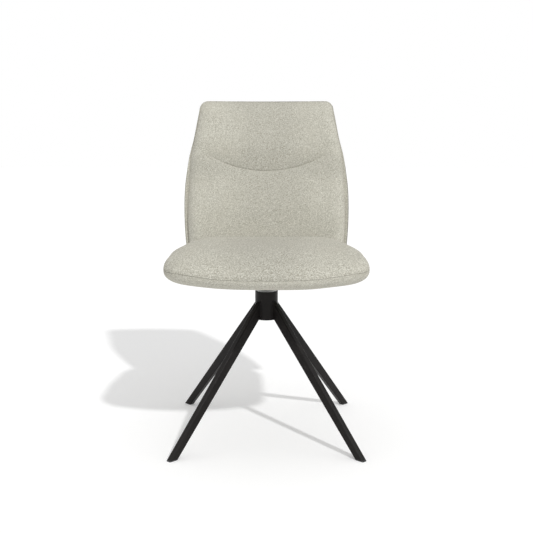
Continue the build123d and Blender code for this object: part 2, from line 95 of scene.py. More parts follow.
# ------------------------------------------------------------ back sizes
back_lean = math.tan(math.radians(15.0))
back_bow = 0.800
back_at_seam = 0.1865        # middle of the back at the seam's height
back_top = 0.8553
back_bottom = 0.408
back_corner = 0.019
front_roll = 0.032
rear_roll = 0.024
roll_fullness = 1.75         # of the front's rolled edge: 2 is an ellipse
band_overhang = 0.0085       # of the side band beyond the side seam, lower down
overhang_taper = 0.0060      # and how much of that is gone at the top
seam_depth = 0.34            # of the side seam, as a share of the padding behind
strap_at = 0.058             # the straps' places beside the middle
strap_room = 0.027           # half the width kept free for a strap
board_recess = 0.0078        # of the front padding, over the board
strap_recess = 0.0110        # and more of it over a strap
rear_recess = 0.0066         # of the rear padding, over the board
# Height, half width, padding in front of the middle and behind it.
back_stations = [
    (0.408, 0.2105, 0.030, 0.027),
    (0.445, 0.2160, 0.036, 0.033),
    (0.495, 0.2213, 0.036, 0.033),
    (0.560, 0.2245, 0.036, 0.033),
    (0.622, 0.2232, 0.034, 0.031),
    (0.665, 0.2185, 0.031, 0.029),
    (0.708, 0.2115, 0.030, 0.027),
    (0.751, 0.2012, 0.029, 0.026),
    (0.795, 0.1932, 0.027, 0.024),
    (0.828, 0.1872, 0.024, 0.021),
    (0.8553, 0.1830, 0.022, 0.020),
]
crease_height = 0.6645
crease_rise = 1.56           # parabola of the crescent, per metre
crease_half_width = 0.172
crease_pillow = 0.0070       # swell of the padding above the crease
crease_hollow = 0.0095       # and how far it sinks beside the crease's ends
sink_above = 0.0080          # just above the crease
sink_below = 0.0053          # and below it
crease_fold = 0.0062         # depth of the fold itself
crease_sag = 0.0034          # of the pillow over its fold

# ------------------------------------------------------------ thread and weld sizes
thread_radius = 0.00036
stitch_half_length = 0.0021
band_stitch_away = 0.0042    # from the back's side seam to its row of stitches
weld_half_width = 0.0075
weld_low = 0.300
weld_high = 0.341
weld_bead = 0.0016


# ------------------------------------------------------------ small helpers
def sagitta(radius, half_chord):
    """How far an arc falls away from its tangent at a half chord."""
    return radius - math.sqrt(radius ** 2 - half_chord ** 2)


def ease(value, low, high):
    """0 below low, 1 above high and a smooth step between."""
    share = min(max((value - low) / (high - low), 0.0), 1.0)
    return share * share * (3 - 2 * share)


def bump(value, centre, width):
    """1 at the centre, and a smooth fall to 0 on both sides."""
    return math.exp(-((value - centre) / width) ** 2)


def between(rows, key):
    """Smooth values between the rows of a table, by its first column."""
    table = np.array(rows)
    keys = table[:, 0]
    slopes = np.gradient(table[:, 1:], keys, axis=0)
    key = min(max(key, keys[0]), keys[-1])
    low = min(int(np.searchsorted(keys, key, side="right")), len(keys) - 1) - 1
    span = keys[low + 1] - keys[low]
    share = (key - keys[low]) / span
    start, end = table[low, 1:], table[low + 1, 1:]
    leave, arrive = slopes[low] * span, slopes[low + 1] * span
    return (start * (1 + 2 * share) * (1 - share) ** 2 + leave * share * (1 - share) ** 2
            + end * share ** 2 * (3 - 2 * share) + arrive * share ** 2 * (share - 1))


def uneven(x, y, z, size):
    """Soft unevenness of hand-filled padding, from -1 to 1."""
    return noise.noise(Vector((x, y, z)) / size + Vector((3.1, 7.7, 1.3)))


def new_piece(name, points, faces):
    """Adds a mesh of points and faces as an object at the origin."""
    mesh = bpy.data.meshes.new(name)
    mesh.from_pydata([tuple(point) for point in points], [], faces)
    mesh.update()
    piece = bpy.data.objects.new(name, mesh)
    bpy.context.scene.collection.objects.link(piece)
    return piece


def only(piece):
    """Makes a piece the one selected and active object."""
    bpy.ops.object.select_all(action="DESELECT")
    piece.select_set(True)
    bpy.context.view_layer.objects.active = piece


def face_outwards(piece):
    """Turns all faces of a closed piece outwards."""
    only(piece)
    bpy.ops.object.mode_set(mode="EDIT")
    bpy.ops.mesh.select_all(action="SELECT")
    bpy.ops.mesh.normals_make_consistent(inside=False)
    bpy.ops.object.mode_set(mode="OBJECT")


def sewn(name, shown, hidden):
    """Closed cover of two panels, each a grid of points, sewn along their edge.

    The mesh's first points are the shown panel's, row by row.
    """
    rows, columns = len(shown), len(shown[0])
    points = [point for row in shown for point in row]
    index = {(row, column): row * columns + column
             for row in range(rows) for column in range(columns)}
    inner = dict(index)
    for row in range(1, rows - 1):
        for column in range(1, columns - 1):
            inner[row, column] = len(points)
            points.append(hidden[row][column])
    faces = []
    for row in range(rows - 1):
        for column in range(columns - 1):
            corners = [(row, column), (row, column + 1), (row + 1, column + 1),
                       (row + 1, column)]
            faces.append([index[corner] for corner in corners])
            faces.append([inner[corner] for corner in reversed(corners)])
    piece = new_piece(name, points, faces)
    face_outwards(piece)
    return piece


def inflate(piece, pinned, cap, pressure=4.0):
    """Blows a cover up between its seams.

    Points move straight outwards, and none further than its cap.
    """
    group = piece.vertex_groups.new(name="sewn")
    group.add(pinned, 1.0, "REPLACE")
    count = len(piece.data.vertices)
    start = np.zeros(count * 3)
    piece.data.vertices.foreach_get("co", start)
    start = start.reshape(-1, 3)
    cloth = piece.modifiers.new("Cover", "CLOTH")
    cloth.settings.quality = 5
    cloth.settings.mass = 0.3
    cloth.settings.use_pressure = True
    cloth.settings.uniform_pressure_force = pressure
    cloth.settings.vertex_group_mass = "sewn"
    cloth.settings.effector_weights.gravity = 0.0
    cloth.collision_settings.use_collision = False
    for step in range(1, 21):
        bpy.context.scene.frame_set(step)
    shaped = piece.evaluated_get(bpy.context.evaluated_depsgraph_get())
    end = np.zeros(count * 3)
    shaped.data.vertices.foreach_get("co", end)
    outwards = np.array([vertex.normal for vertex in piece.data.vertices])
    swell = np.maximum(((end.reshape(-1, 3) - start) * outwards).sum(axis=1), 0)
    caps = np.maximum(np.array([cap(*point) for point in start]), 1e-6)
    move = (caps * np.tanh(swell / caps))[:, None] * outwards
    piece.modifiers.remove(cloth)
    piece.vertex_groups.remove(group)
    bpy.context.scene.frame_set(1)
    piece.data.vertices.foreach_set("co", (start + move).ravel())
    piece.data.update()
    print(piece.name, "swelled by up to", round(float(np.abs(move).max()) * 1000, 1), "mm")


def subdivide(piece):
    """Applies one subdivision and shades the cover smooth."""
    only(piece)
    finer = piece.modifiers.new("Finer", "SUBSURF")
    finer.levels = 1
    finer.render_levels = 1
    bpy.ops.object.modifier_apply(modifier=finer.name)
    bpy.ops.object.shade_smooth()


# ------------------------------------------------------------ seat
def arc(centre, radius, start, end, count):
    """Points on an arc between two angles, without its last."""
    angles = np.linspace(start, end, count, endpoint=False)
    return [(centre.x + radius * math.cos(angle), centre.y + radius * math.sin(angle))
            for angle in angles]


def corner_centre(on_line, along, inward, radius, bow_centre, bow_radius, side):
    """Centre of a corner that touches the side line and the bowed edge."""
    start = on_line + inward * radius - bow_centre
    reach = start.dot(along)
    spare = start.dot(start) - (bow_radius - radius) ** 2
    run = -reach + side * math.sqrt(reach ** 2 - spare)
    return bow_centre + start + along * run


def seat_plan(front, side, rear):
    """Outline of the seat from above, drawn in at front, sides and rear."""
    front_y = front - seat_front
    rear_y = seat_rear - rear
    wide = seat_half_width - side
    narrow = seat_rear_half_width - side
    start = Vector((wide, front_y + sagitta(seat_front_bow, wide)))
    end = Vector((narrow, rear_y - sagitta(seat_rear_bow, narrow)))
    along = (end - start).normalized()
    inward = Vector((-along.y, along.x))
    front_bow = Vector((0, front_y + seat_front_bow))
    rear_bow = Vector((0, rear_y - seat_rear_bow))
    shrunk = min(wide / seat_half_width, (rear_y - front_y) / (seat_rear + seat_front))
    front_radius = seat_front_corner * shrunk
    rear_radius = seat_rear_corner * shrunk
    front_corner = corner_centre(start, along, inward, front_radius, front_bow,
                                 seat_front_bow, -1)
    rear_corner = corner_centre(start, along, inward, rear_radius, rear_bow,
                                seat_rear_bow, 1)
    leaves_front = math.atan2(*reversed(front_corner - front_bow))
    meets_side = math.atan2(-inward.y, -inward.x)
    leaves_rear = math.atan2(*reversed(rear_corner - rear_bow))
    half = arc(front_bow, seat_front_bow, -math.pi / 2, leaves_front, 30)
    half += arc(front_corner, front_radius, leaves_front, meets_side, 16)
    half += arc(rear_corner, rear_radius, meets_side, leaves_rear, 16)
    half += arc(rear_bow, seat_rear_bow, leaves_rear, math.pi / 2, 30)
    half.append((0, rear_y))
    other = [(-x, y) for x, y in reversed(half[:-1])]
    loop = np.array(half + other)
    lengths = np.concatenate([[0], np.cumsum(np.linalg.norm(np.diff(loop, axis=0), axis=1))])
    return loop, lengths / lengths[-1]


def on_plan(plan, share):
    """Point of an outline at a share of its length from the front's middle."""
    loop, shares = plan
    return np.interp(share, shares, loop[:, 0]), np.interp(share, shares, loop[:, 1])


def ring_share(across, up):
    """Place round a square ring of a grid, as a share from the front's middle."""
    ring = max(abs(across), abs(up))
    if ring == 0:
        return 0.0
    if up == -ring:
        steps = across
    elif across == ring:
        steps = 2 * ring + up
    elif up == ring:
        steps = 4 * ring - across
    else:
        steps = 6 * ring - up
    return (steps % (8 * ring)) / (8 * ring)


def seam_offset(x, y):
    """The seat's seam dips at the middle of the front and rises to the corners."""
    in_front = 1 - ease(y, -0.22, -0.02)
    return in_front * (ease(abs(x), 0.074, 0.235) * (seam_dip + seam_lift) - seam_dip)


def even_turns(run, rise, count):
    """Turns of a quarter ellipse from its top to the seam, evenly spaced on it."""
    turns = np.linspace(math.pi / 2, 0, 400)
    x, y = run * (1 - np.cos(turns)), rise * np.sin(turns)
    path = np.concatenate([[0], np.cumsum(np.hypot(np.diff(x), np.diff(y)))])
    return np.interp(np.linspace(0, path[-1], count + 1), path, turns)


def seam_pinch(turn, rise):
    """How far the cover is drawn in at its seam and under its row of stitches.

    The upper cover is folded over the seam, so its edge stands out a little.
    """
    away = abs(rise) * math.sin(turn)
    edge = -0.0001 if rise > 0 else 0.0001
    return edge * bump(away, 0.0006, 0.0010) + 0.0006 * bump(away, stitch_away, 0.0010)


seam_steps = [0.0062, 0.0050, 0.0042, 0.0034, 0.0026, 0.0016, 0.0008, 0.0]


def seam_turns(run, rise, count):
    """Even turns down to the seam's own closer rings."""
    turns = [turn for turn in even_turns(run, rise, count)
             if rise * math.sin(turn) > seam_steps[0] * 1.4]
    return turns + [math.asin(step / rise) for step in seam_steps]


def ring_points(rings):
    """Grid of points from functions that place each ring by its share."""
    half = len(rings) - 1
    grid = []
    for up in range(-half, half + 1):
        row = []
        for across in range(-half, half + 1):
            ring = max(abs(across), abs(up))
            row.append(rings[ring](ring_share(across, up)))
        grid.append(row)
    return grid


def level_ring(plan, share_in, height, dome=0.0):
    """Ring of a level face: an outline shrunk towards its middle."""
    middle_y = (plan[0][:, 1].max() + plan[0][:, 1].min()) / 2
    lift = dome * (1 - share_in ** 2) ** 2

    def place(share):
        x, y = on_plan(plan, share)
        return x * share_in, middle_y + (y - middle_y) * share_in, height + lift
    return place


def turned_ring(turn, runs, rise, gap):
    """Ring on the rounded profiles that leave the seam."""
    power = fullness if rise > 0 else lower_fullness
    drawn = 1 - max(0.0, 1 - math.sin(turn) ** power) ** (1 / power)
    pinch = seam_pinch(turn, rise)
    plan = seat_plan(*[run * drawn + pinch for run in runs])

    def place(share):
        x, y = on_plan(plan, share)
        base = seam_height + gap + seam_offset(x, y) * (1 - math.sin(turn))
        height = base + rise * math.sin(turn)
        if rise < 0:
            full = math.sin(turn) ** 2 * math.sqrt(max(math.cos(turn), 0.0))
            height += (lower_lift * bump(abs(x), 0.165, 0.055) - lower_roll) * full
        else:
            full = math.sin(2 * turn) ** 2 * math.cos(turn)
            full *= bump(y, -0.09, 0.08) * ease(abs(x), 0.10, 0.18)
            x += math.copysign(side_fill * full, x)
        soft = 0.0009 * uneven(x, y, height, 0.085) * ease(math.sin(turn), 0.15, 0.6)
        return x, y, height + soft
    return place


def seat_panels(shown_rings, hidden_height):
    """Shown and hidden grids of a seat pad, from the middle out to the seam."""
    count = len(shown_rings) - 1
    shown = ring_points(shown_rings)
    edge = seat_plan(0.0016, 0.0016, 0.0016)

    def flat(share_in):
        def place(share):
            x, y = on_plan(edge, share)
            rim = share_in ** 6 * seam_offset(x, y)
            middle_y = (seat_rear - seat_front) / 2
            return x * share_in, middle_y + (y - middle_y) * share_in, hidden_height + rim
        return place
    hidden = ring_points([flat(ring / count) for ring in range(count + 1)])
    return shown, hidden


def seat_cap(x, y, z):
    """How far the seat's cover may swell: not towards the back, nor at the seam."""
    return most_swell * (1 - ease(y, 0.0, 0.10)) * ease(abs(z - seam_height), 0.008, 0.03)


def make_seat_cushion():
    """Crowned top of the seat, from the middle of its crown down to the seam."""
    top_plan = seat_plan(*crown_run)
    rings = [level_ring(top_plan, step / 12, seam_height + seat_crown, 0.0012)
             for step in range(12)]
    rings += [turned_ring(turn, crown_run, seat_crown, seam_gap)
              for turn in seam_turns(0.19, seat_crown, 32)]
    shown, hidden = seat_panels(rings, seam_height + seam_gap)
    piece = sewn("seat_cushion_cover", shown, hidden)
    shown_count = len(shown) * len(shown[0])
    points = [vertex.co for vertex in piece.data.vertices]
    pinned = [i for i, point in enumerate(points)
              if i >= shown_count or point.z < seam_height + 0.012]
    inflate(piece, pinned, seat_cap)
    subdivide(piece)
    return piece


def make_seat_underpad():
    """Lower cover of the seat, wrapped round the board's edge to its underside."""
    board_plan = seat_plan(*board_margin)
    ceiling = board_underside + room_above_board
    rings = [level_ring(board_plan, step / 14, ceiling) for step in range(14)]
    rings += [level_ring(board_plan, 1.0, height)
              for height in (ceiling, ceiling - 0.008, board_underside + 0.006,
                             board_underside + 0.001)]
    rings += [turned_ring(turn, underside_run, -seat_underside, -seam_gap)
              for turn in seam_turns(0.065, seat_underside, 16)]
    shown, hidden = seat_panels(rings, seam_height - seam_gap)
    piece = sewn("seat_under_cover", shown, hidden)
    subdivide(piece)
    return piece


# ------------------------------------------------------------ back
def back_middle(height):
    """Y of the back's middle surface at a height, on the line of symmetry."""
    return back_at_seam + (height - seam_height) * back_lean


def overhang(height):
    """How far the side band stands out beyond the side seam."""
    return band_overhang - overhang_taper * ease(height, 0.60, 0.71)


def roll_lines(run, count):
    """Insets of the grid lines from the seam across the rolled edge."""
    turns = np.linspace(0, math.pi / 2, count + 1)
    insets = [run * (1 - math.cos(turn)) for turn in turns[1:]]
    return [0.0, 0.0008, 0.0016, 0.0026] + [inset for inset in insets if inset > 0.0034]


def rolled(inset, run):
    """Share of the padding's depth at an inset from the seam."""
    across = 1 - min(inset, run) / run
    return max(0.0, 1 - across ** roll_fullness) ** (1 / roll_fullness)


def round_corner(x, z, half_width, low, high, radius):
    """Moves a point of a square-cornered outline to the round-cornered one."""
    side = math.copysign(1, x)
    inset_x = half_width - abs(x)
    top = z > (low + high) / 2
    inset_z = high - z if top else z - low
    if inset_x >= radius or inset_z >= radius:
        return x, z
    out_x, out_z = 1 - inset_x / radius, 1 - inset_z / radius
    reach = max(out_x, out_z)
    if out_x >= out_z:
        angle = math.pi / 4 * out_z / out_x
    else:
        angle = math.pi / 2 - math.pi / 4 * out_x / out_z
    new_x = half_width - radius + radius * reach * math.cos(angle)
    new_inset = radius - radius * reach * math.sin(angle)
    return side * new_x, high - new_inset if top else low + new_inset


def crease_line(x):
    """Rise of the crease above its lowest point."""
    return crease_rise * min(abs(x), crease_half_width) ** 2


def crease_shape(x, above):
    """Forward swell and sag of the padding at a height above the crease.

    Above the crease it swells like a pillow and folds in sharply. Beside the
    crease it only sinks, softly and further down.
    """
    strength = 1 - ease(abs(x), 0.085, crease_half_width + 0.006)
    beside = ease(abs(x), 0.11, 0.17)
    pillow = crease_pillow * bump(above, 0.066, 0.045) * (1 - 0.25 * beside)
    hollow = crease_hollow * (1 - ease(above, -0.055, 0.064))
    hollow *= 1 - ease(-above, 0.055, 0.160)
    fold = crease_fold * (0.35 + 0.65 * strength) * (1 - ease(abs(x), 0.15, 0.178))
    if above >= 0:
        sink = sink_above * (1 - ease(above, -0.012, 0.064))
        lip = fold * 0.45 * math.exp(-(above / 0.0042) ** 1.3)
        sag = crease_sag * strength * bump(above, 0.0045, 0.0045)
    else:
        sink = sink_below * math.exp(above / 0.040)
        lip = fold * 0.60 * math.exp(above / 0.0050)
        sag = 0.0
    return pillow - sink * (1 - beside) - hollow * beside - lip, sag


def back_rows(run):
    """Heights of the front grid's rows, from seam to seam, closer at the crease."""
    rolls = roll_lines(run, 8)
    low = [back_bottom + inset for inset in rolls]
    high = [back_top - inset for inset in reversed(rolls)]
    rows = [row for row in np.linspace(low[-1], high[0], 74)[1:-1]
            if abs(row - crease_height) > 0.016]
    rows += [crease_height + step for step in
             (-0.014, -0.010, -0.007, -0.0045, -0.0025, -0.001, 0.0002, 0.0012,
              0.0025, 0.0045, 0.007, 0.010, 0.014)]
    return low + sorted(rows) + high


def front_across(height, inset, share):
    """X of a grid line of the back's front cover at one height."""
    edge = between(back_stations, height)[0] - overhang(height)
    if inset < front_roll:
        return math.copysign(edge - inset, share)
    return (edge - front_roll) * share


def back_cap(x, y, z):
    """How far the back's cover may swell: not where the seat touches it."""
    return most_swell * ease(z, 0.52, 0.58)


def front_points(height, inset, share, bottom, top):
    """A point of the back's front cover, and the hidden one behind it."""
    edge_inset = min(height - bottom, top - height)
    settled = rolled(edge_inset, front_roll)
    above = height - crease_height
    x = front_across(height, inset, share)
    z = height + crease_line(x) * bump(above, 0, 0.075)
    x = front_across(z, inset, share)
    edge = between(back_stations, z)[0] - overhang(z)
    depth = between(back_stations, z)[1] * rolled(edge - abs(x), front_roll) * settled
    x, z = round_corner(x, z, edge, bottom, top, back_corner - overhang(back_top))
    swell, sag = crease_shape(x, above)
    soft = 0.0010 * uneven(x, 0.4, z, 0.095) * ease(edge - abs(x), 0.0, 0.05)
    pinch = 0.0004 * bump(min(edge - abs(x), edge_inset), 0, 0.0012)
    z -= sag
    y = back_middle(z) - sagitta(back_bow, abs(x)) - 0.0002
    recess = board_recess * ease(min(edge - abs(x), edge_inset), 0.016, 0.024)
    strap = ease(strap_room - abs(abs(x) - strap_at), 0, 0.006)
    strap *= 1 - ease(z, 0.575, 0.59)
    recess += strap_recess * strap * ease(recess, 0.004, board_recess)
    if abs(x) > edge / 2:
        x -= math.copysign(pinch, x)
    return (x, y - depth - (swell + soft) * settled, z), (x, y - min(recess, depth * 0.8), z)


def make_back_cushion():
    """Front cover of the back, with its crescent crease."""
    top = back_top - overhang(back_top)
    bottom = back_bottom + overhang(back_top)
    rolls = roll_lines(front_roll, 8)
    columns = [(inset, -1.0) for inset in rolls[:-1]]
    columns += [(front_roll, share) for share in np.linspace(-1, 1, 72)]
    columns += [(inset, 1.0) for inset in reversed(rolls[:-1])]
    heights = [min(max(height, bottom), top) for height in
               back_rows(front_roll + overhang(back_top))]
    shown, hidden = [], []
    for height in sorted(set(heights)):
        points = [front_points(height, inset, share, bottom, top)
                  for inset, share in columns]
        shown.append([front for front, _ in points])
        hidden.append([behind for _, behind in points])
    piece = sewn("back_cushion_cover", shown, hidden)
    columns_count = len(shown[0])
    rows_count = len(shown)
    pinned = list(range(rows_count * columns_count, len(piece.data.vertices)))
    for row in range(rows_count):
        for column in range(columns_count):
            x, _, z = shown[row][column]
            rim = min(row, rows_count - 1 - row, column, columns_count - 1 - column)
            near_crease = abs(z - crease_height - crease_line(x)) < 0.005
            if rim < 6 or near_crease and abs(x) < crease_half_width:
                pinned.append(row * columns_count + column)
    inflate(piece, pinned, back_cap)
    subdivide(piece)
    return piece


def band_turn(turn, reach):
    """Inset from the outline and share of the depth at a turn round the band.

    The band runs from -1 at the side seam, over 0 at its widest, to 1 at the rear.
    """
    if turn < 0:
        seam_turn = math.acos(1 - reach / rear_roll)
        angle = turn * seam_turn
        return (rear_roll * (1 - math.cos(angle)),
                seam_depth * (1 + math.sin(angle) / math.sin(seam_turn)))
    angle = turn * math.pi / 2
    return (rear_roll * (1 - math.cos(angle)),
            seam_depth + (1 - seam_depth) * math.sin(angle))


def rear_points(height, x, share, end_share, width, rear_depth):
    """A point of the back's rear cover, and the hidden one in front of it."""
    depth = rear_depth * share * end_share
    from_edge = min(width - abs(x), height - back_bottom, back_top - height)
    x, z = round_corner(x, height, width, back_bottom, back_top, back_corner)
    soft = 0.0008 * uneven(x, 1.7, z, 0.11) * share * end_share
    y = back_middle(z) - sagitta(back_bow, abs(x)) + 0.0002
    recess = rear_recess * ease(from_edge, 0.024, 0.033)
    if abs(x) > width / 2:
        x -= math.copysign(0.0004 * bump(min(share, end_share), 0, 0.05), x)
    return (x, y + depth + soft, z), (x, y + min(recess, depth * 0.8), z)


def make_back_shell():
    """Side band and rear of the back in one cover, behind the side seams."""
    turns = list(np.linspace(-1, 0, 7)) + list(np.linspace(0, 1, 10))[1:]
    ends = [band_turn(turn, overhang(back_top)) for turn in turns]
    rows = [(back_bottom + inset, share) for inset, share in ends]
    rows += [(height, 1.0) for height in
             np.linspace(back_bottom + rear_roll, back_top - rear_roll, 70)[1:-1]]
    rows += [(back_top - inset, share) for inset, share in reversed(ends)]
    shown, hidden = [], []
    for height, end_share in rows:
        width, _, rear_depth = between(back_stations, height)
        sides = [band_turn(turn, overhang(height)) for turn in turns]
        columns = [(-(width - inset), share) for inset, share in sides]
        columns += [(x, 1.0) for x in
                    np.linspace(rear_roll - width, width - rear_roll, 66)[1:-1]]
        columns += [(width - inset, share) for inset, share in reversed(sides)]
        points = [rear_points(height, x, share, end_share, width, rear_depth)
                  for x, share in columns]
        shown.append([rear for rear, _ in points])
        hidden.append([ahead for _, ahead in points])
    piece = sewn("back_shell_cover", shown, hidden)
    subdivide(piece)
    return piece


# ------------------------------------------------------------ sewing
def one_stitch():
    """Points and faces of one stitch of thread, lying along X with Z outwards."""
    bpy.ops.object.select_all(action="DESELECT")
    bpy.ops.mesh.primitive_uv_sphere_add(segments=8, ring_count=6, radius=1.0)
    ball = bpy.context.object
    ball.scale = (thread_radius, thread_radius, stitch_half_length)
    ball.rotation_euler = (0, math.pi / 2, 0)
    bpy.ops.object.transform_apply(location=False, rotation=True, scale=True)
    points = np.array([vertex.co for vertex in ball.data.vertices])
    faces = [list(face.vertices) for face in ball.data.polygons]
    mesh = ball.data
    bpy.data.objects.remove(ball)
    bpy.data.meshes.remove(mesh)
    return points, faces


def stitched(name, rows, pitch=0.0056):
    """Stitches at even steps along rows of points, each with its outward line."""
    shape, shape_faces = one_stitch()
    points, faces = [], []
    for path, outwards in rows:
        path, outwards = np.array(path), np.array(outwards)
        steps = np.linalg.norm(np.diff(path, axis=0), axis=1)
        along = np.concatenate([[0], np.cumsum(steps)])
        count = int(along[-1] / pitch)
        for place in (np.arange(count) + 0.5) * along[-1] / count:
            low = min(int(np.searchsorted(along, place)), len(path) - 1)
            tangent = path[low] - path[low - 1]
            tangent /= np.linalg.norm(tangent)
            out = np.array([np.interp(place, along, outwards[:, i]) for i in range(3)])
            out -= tangent * out.dot(tangent)
            out /= np.linalg.norm(out)
            centre = np.array([np.interp(place, along, path[:, i]) for i in range(3)])
            across = np.cross(out, tangent)
            turn = np.stack([tangent, across, out])
            first = sum(len(block) for block in points)
            points.append(shape @ turn + centre)
            faces += [[first + corner for corner in face] for face in shape_faces]
    piece = new_piece(name, np.concatenate(points), faces)
    face_outwards(piece)
    bpy.ops.object.shade_smooth()
    return piece


def seat_stitch_rows():
    """One row of stitches above the seat's seam and one below it."""
    rows = []
    for runs, rise, gap in ((crown_run, seat_crown, seam_gap),
                            (underside_run, -seat_underside, -seam_gap)):
        turn = math.asin(stitch_away / abs(rise))
        place = turned_ring(turn, runs, rise, gap)
        shares = np.linspace(0, 1, 600)
        path = [place(share) for share in shares]
        outwards = []
        for share in shares:
            x0, y0, _ = place(share - 0.001 if share > 0.5 else share)
            x1, y1, _ = place(share if share > 0.5 else share + 0.001)
            outwards.append((y1 - y0, x0 - x1, 0.0))
        rows.append((path, outwards))
    return rows


def back_stitch_rows():
    """One row of stitches in front of each side seam."""
    rows = []
    for side in (-1, 1):
        path, outwards = [], []
        for height in np.linspace(back_bottom + 0.04, back_top - 0.035, 160):
            edge = between(back_stations, height)[0] - overhang(height)
            depth = between(back_stations, height)[1]
            inset = front_roll * (1 - math.sqrt(1 - (band_stitch_away / depth) ** 2))
            x = edge - inset - 0.0001
            y = back_middle(height) - sagitta(back_bow, x) - band_stitch_away
            path.append((side * x, y, height))
            outwards.append((side, -0.12, 0.0))
        rows.append((path, outwards))
    return rows


# ------------------------------------------------------------ welds
def weld_round_leg(name, angle):
    """Fillet weld round a leg's end on the hub tube."""
    hub_radius = (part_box("hub_tube")[1].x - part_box("hub_tube")[0].x) / 2
    outline = []
    for turn in np.linspace(0, 2 * math.pi, 48, endpoint=False):
        across = weld_half_width * math.copysign(abs(math.cos(turn)) ** 0.25, math.cos(turn))
        up = math.copysign(abs(math.sin(turn)) ** 0.25, math.sin(turn))
        swing = angle + across / hub_radius
        outline.append(((hub_radius + 0.0002) * math.cos(swing),
                        (hub_radius + 0.0002) * math.sin(swing),
                        (weld_low + weld_high) / 2 + (weld_high - weld_low) / 2 * up))
    curve = bpy.data.curves.new(name, "CURVE")
    curve.dimensions = "3D"
    curve.bevel_depth = weld_bead
    curve.bevel_resolution = 2
    line = curve.splines.new("POLY")
    line.points.add(len(outline) - 1)
    for point, (x, y, z) in zip(line.points, outline):
        point.co = (x, y, z, 1)
    line.use_cyclic_u = True
    bead = bpy.data.objects.new(name, curve)
    bpy.context.scene.collection.objects.link(bead)
    only(bead)
    bpy.ops.object.convert(target="MESH")
    bpy.ops.object.shade_smooth()
    return bpy.context.object


# ------------------------------------------------------------ finishes
class Value:
    """A node's socket that takes part in sums."""

    def __init__(self, maker, socket):
        self.maker = maker
        self.socket = socket

    def calc(self, operation, first, second):
        return self.maker.node("Math", {"operation": operation}, {0: first, 1: second})

    def __add__(self, other):
        return self.calc("ADD", self, other)

    def __sub__(self, other):
        return self.calc("SUBTRACT", self, other)

    def __rsub__(self, other):
        return self.calc("SUBTRACT", other, self)

    def __mul__(self, other):
        return self.calc("MULTIPLY", self, other)

    def size(self):
        return self.calc("ABSOLUTE", self, 0.0)

    def larger(self, other):
        return self.calc("MAXIMUM", self, other)

    __radd__ = __add__
    __rmul__ = __mul__


class Nodes:
    """A node tree, with short ways to add to it."""

    def __init__(self, tree):
        self.tree = tree
        tree.nodes.clear()

    def node(self, kind, settings, inputs, output=0):
        """Adds a node, makes its settings, then fills or links its sockets."""
        made = self.tree.nodes.new("ShaderNode" + kind)
        for setting, value in settings.items():
            setattr(made, setting, value)
        for socket, value in inputs.items():
            if isinstance(value, Value):
                self.tree.links.new(value.socket, made.inputs[socket])
            else:
                made.inputs[socket].default_value = value
        return Value(self, made.outputs[output]) if made.outputs else None

    def grade(self, value, low, high, to_low=0.0, to_high=1.0):
        """Straight-line map from one range to another, held at its ends."""
        return self.node("MapRange", {}, {"Value": value, "From Min": low, "From Max": high,
                                          "To Min": to_low, "To Max": to_high})

    def mix(self, share, first, second):
        return self.node("Mix", {"data_type": "RGBA"}, {0: share, 6: first, 7: second}, 2)

    def seen(self):
        """1 for rays that show the background: to the eye, in gloss and through glass."""
        return (self.node("LightPath", {}, {}, "Is Camera Ray")
                + self.node("LightPath", {}, {}, "Is Glossy Ray")
                + self.node("LightPath", {}, {}, "Is Transmission Ray"))


class Finish(Nodes):
    """One material and the nodes that make it."""

    def __init__(self, name, constants):
        self.material = bpy.data.materials.new(name)
        self.material.use_nodes = True
        super().__init__(self.material.node_tree)
        surface = self.node("BsdfPrincipled", {}, constants)
        self.node("OutputMaterial", {}, {"Surface": surface})
        self.shader = surface.socket.node

    def place(self, scale=(1, 1, 1)):
        """Object coordinates, stretched along each axis."""
        spot = self.node("TexCoord", {}, {}, "Object")
        return self.node("Mapping", {}, {"Vector": spot, "Scale": scale})

    def noise(self, scale, detail=2.0, roughness=0.5, where=None):
        return self.node("TexNoise", {}, {"Vector": where or self.place(), "Scale": scale,
                                          "Detail": detail, "Roughness": roughness})

    def cells(self, scale, where=None):
        return self.node("TexVoronoi", {"feature": "F1"},
                         {"Vector": where or self.place(), "Scale": scale}, "Distance")

    def colour(self, value):
        self.tree.links.new(value.socket, self.shader.inputs["Base Color"])

    def rough(self, value):
        self.tree.links.new(value.socket, self.shader.inputs["Roughness"])

    def relief(self, height, distance, strength=1.0):
        made = self.node("Bump", {}, {"Height": height, "Distance": distance,
                                      "Strength": strength})
        self.tree.links.new(made.socket, self.shader.inputs["Normal"])


